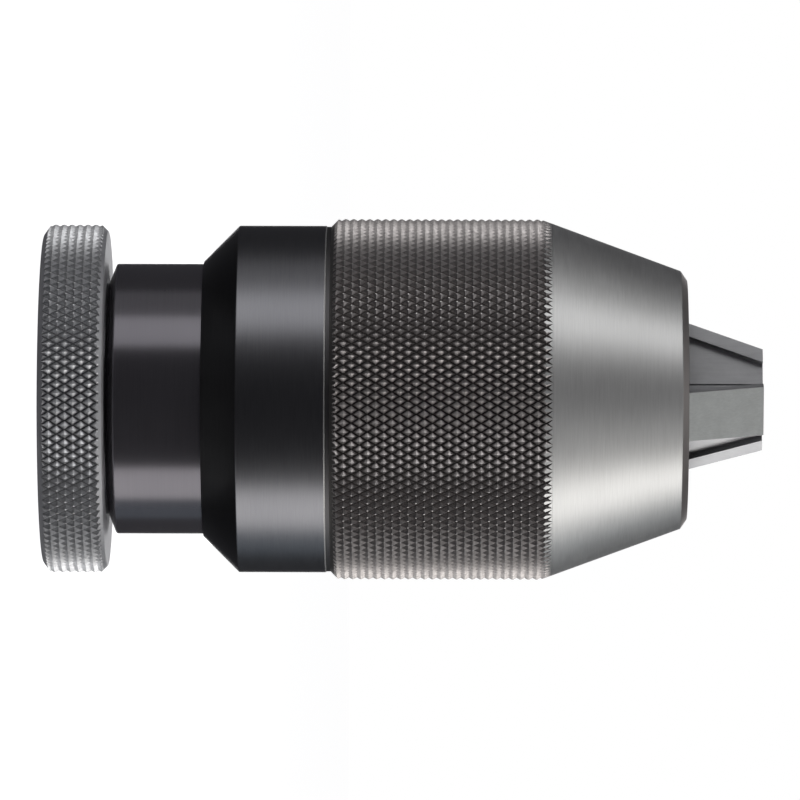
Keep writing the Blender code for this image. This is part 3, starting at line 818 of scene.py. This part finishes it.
def make_jaw_guide():
    """Flanged cone with three slots that keep the jaws apart, clamped between sleeve and hood."""
    cone_gap = 0.1 * MM / math.cos(CONE_ANGLE)
    slot_gap = 0.15 * MM
    ring_radius = hood_cone_radius(CONE_REAR_Z) - cone_gap
    ledge_z = SKIRT_REAR_Z - FIT_GAP
    outline = [
        corner(GUIDE_BORE_RADIUS, GUIDE_REAR_Z, 0.3),
        corner(GUIDE_FLANGE_RADIUS, GUIDE_REAR_Z, 0.3),
        corner(GUIDE_FLANGE_RADIUS, ledge_z, 0.2),
        corner(ring_radius, ledge_z, 0.2),
        corner(ring_radius, CONE_REAR_Z, 0.1),
        corner(hood_cone_radius(GUIDE_FRONT_Z) - cone_gap, GUIDE_FRONT_Z, 0.2),
        corner(GUIDE_NOSE_BORE_RADIUS, GUIDE_FRONT_Z, 0.4),
        corner(GUIDE_NOSE_BORE_RADIUS, JAW_REAR_Z, 0.1),
        corner(GUIDE_BORE_RADIUS, JAW_REAR_Z, 0.1),
    ]
    guide = add_object("jaw_guide_milled", turned(outline))
    high_z = GUIDE_FRONT_Z + 1.0 * MM
    reach = SLEEVE_CAVITY_RADIUS + 2.0 * MM
    floor = JAW_FLANGE_DEPTH + cone_gap
    flange_slot = [
        (jaw_face_radius(CONE_REAR_Z) - floor, CONE_REAR_Z),
        (reach, CONE_REAR_Z),
        (reach, high_z),
        (jaw_face_radius(high_z) - floor, high_z),
    ]
    web_slot = [(0.0, CONE_REAR_Z), (reach, CONE_REAR_Z), (reach, high_z), (0.0, high_z)]
    cutters = []
    for angle in JAW_ANGLES:
        for slot, width in ((flange_slot, JAW_FLANGE_WIDTH), (web_slot, JAW_WEB_WIDTH)):
            half_width = width / 2 + slot_gap
            cutter = add_object("guide_slot_cutter", prism(slot, -half_width, half_width, side_view))
            cutter.rotation_euler.z = math.radians(angle)
            cutters.append(cutter)
    cut(guide, cutters)
    material = brushed("guide_milled_steel", (0.34, 0.34, 0.35), (0.27, 0.27, 0.28), 0.3, 0.04)
    dress(guide, "jaw_guide", "sleeve", material, sharp=25.0)


# ---------------------------------------------------------------- stage, lights, camera

CAMERA_DISTANCE = 1.25          # metres in front of the axis
VIEW_WIDTH = 111.1 * MM         # across the picture, at the chuck's axis
SENSOR = 36.0                   # the sensor's width and the lens are in millimetres
CAMERA_Z = 60.2 * MM
AIM = Vector((0.1 * MM, 0.0, 49.4 * MM))
CAMERA_ROLL = math.radians(0.15)
WHITE = (1.0, 1.0, 1.0)


def make_camera():
    """The chuck lies across the picture: its nose is to the right and -X is up."""
    data = bpy.data.cameras.new("camera")
    data.sensor_width = SENSOR
    data.lens = SENSOR * CAMERA_DISTANCE / VIEW_WIDTH
    data.clip_end = 10.0
    camera = bpy.data.objects.new("camera", data)
    camera.location = (AIM.x, -CAMERA_DISTANCE, CAMERA_Z)
    back = (camera.location - AIM).normalized()
    above = Vector((-math.cos(CAMERA_ROLL), 0.0, -math.sin(CAMERA_ROLL)))
    right = above.cross(back).normalized()
    up = back.cross(right)
    camera.rotation_euler = Matrix((right, up, back)).transposed().to_euler()
    bpy.context.scene.collection.objects.link(camera)
    bpy.context.scene.camera = camera


def stage_material(name, glow, albedo):
    """A plain matt white that gives off its own light, so it stays even."""
    material = bpy.data.materials.new(name)
    material.use_nodes = True
    shader = material.node_tree.nodes["Principled BSDF"]
    shader.inputs["Base Color"].default_value = (albedo, albedo, albedo, 1.0)
    shader.inputs["Roughness"].default_value = 1.0
    shader.inputs["Specular IOR Level"].default_value = 0.0
    shader.inputs["Emission Color"].default_value = (*WHITE, 1.0)
    shader.inputs["Emission Strength"].default_value = glow
    return material


def make_stage():
    """A pale floor and a pale dome, seen by the camera but not mirrored in the steel."""
    stage_radius = 3.0
    bm = bmesh.new()
    bmesh.ops.create_circle(bm, cap_ends=True, segments=96, radius=stage_radius)
    floor = add_object("floor", bm)
    floor.location.z = -0.2 * MM
    floor.data.materials.append(stage_material("floor_pale", 0.95, 0.8))
    bm = bmesh.new()
    bmesh.ops.create_uvsphere(bm, u_segments=48, v_segments=24, radius=stage_radius)
    dome = add_object("dome", bm)
    dome.data.materials.append(stage_material("dome_pale", 1.0, 0.0))
    for item in (floor, dome):
        item.visible_glossy = False
        item.visible_diffuse = False
        item.visible_shadow = False
        item.visible_transmission = False


def area_light(name, place, axes, width, length, radiance, colour):
    """A soft rectangular light that the camera doesn't see; axes are its right, its up and its back."""
    data = bpy.data.lights.new(name, "AREA")
    data.shape = "RECTANGLE"
    data.size = width
    data.size_y = length
    data.color = colour
    data.energy = radiance * math.pi * width * length
    light = bpy.data.objects.new(name, data)
    light.location = place
    light.rotation_euler = Matrix(axes).transposed().to_euler()
    light.visible_camera = False
    bpy.context.scene.collection.objects.link(light)


def softbox(name, angle, distance, width, low_z, high_z, radiance, colour=WHITE):
    """An upright light beside the chuck; the angle is from the camera's side, towards -X."""
    turn = math.radians(angle)
    back = Vector((-math.sin(turn), -math.cos(turn), 0.0))
    up = Vector((0.0, 0.0, 1.0))
    place = back * distance + up * (low_z + high_z) / 2
    area_light(name, place, (up.cross(back), up, back), width, high_z - low_z, radiance, colour)


def make_lights():
    """Upright lights above and below the chuck as the camera sees it, and dim ones behind and overhead."""
    softbox("upper_inner", 59.0, 0.5, 0.26, -0.14, 0.7, 2.05)
    softbox("upper_outer", 89.0, 0.5, 0.24, -0.2, 0.3, 0.42)
    softbox("lower_inner", -77.0, 0.5, 0.3, -0.14, 0.7, 2.8, (1.0, 0.985, 0.96))
    softbox("lower_outer", -108.0, 0.5, 0.24, -0.2, 0.3, 0.38, (0.72, 0.88, 1.0))
    softbox("left_upper", 62.0, 0.5, 0.3, -0.6, -0.14, 0.7)
    softbox("left_lower", -72.0, 0.5, 0.3, -0.6, -0.14, 1.2)
    softbox("front_nose", -29.0, 0.5, 0.26, 0.35, 0.8, 0.7)
    softbox("front_top", 5.0, 0.5, 0.3, 0.35, 0.8, 0.12)
    softbox("behind", 180.0, 0.8, 0.34, -0.1, 0.5, 1.0)
    area_light("overhead", (0.0, 0.0, 1.2), Matrix.Identity(3), 1.0, 0.6, 0.5, WHITE)
    world = bpy.data.worlds.new("studio")
    world.use_nodes = True
    world.node_tree.nodes["Background"].inputs["Color"].default_value = (0.045, 0.045, 0.05, 1.0)
    bpy.context.scene.world = world


make_camera()
make_stage()
make_lights()
make_body()
make_holding_ring()
hood_steel = brushed("hood_satin_steel", (0.6, 0.6, 0.595), (0.48, 0.48, 0.475), 0.46, 0.03)
make_sleeve(hood_steel)
make_hood(hood_steel)
make_races()
make_balls()
make_spindle()
jaw_steel = ground("jaw_ground_steel", (0.45, 0.45, 0.46), (0.36, 0.36, 0.37), 0.48, (3.0, 3.0, 0.3))
jaw_face_light, jaw_face_dark = (0.6, 0.62, 0.61), (0.46, 0.475, 0.468)
jaw_face_steel = ground("jaw_face_steel", jaw_face_light, jaw_face_dark, 0.44, (5.0, 5.0, 0.25), 0.004)
for jaw_number, jaw_angle in enumerate(JAW_ANGLES, 1):
    make_jaw(jaw_number, jaw_angle, jaw_steel, jaw_face_steel)
make_jaw_guide()
bpy.context.scene.view_settings.view_transform = "Standard"
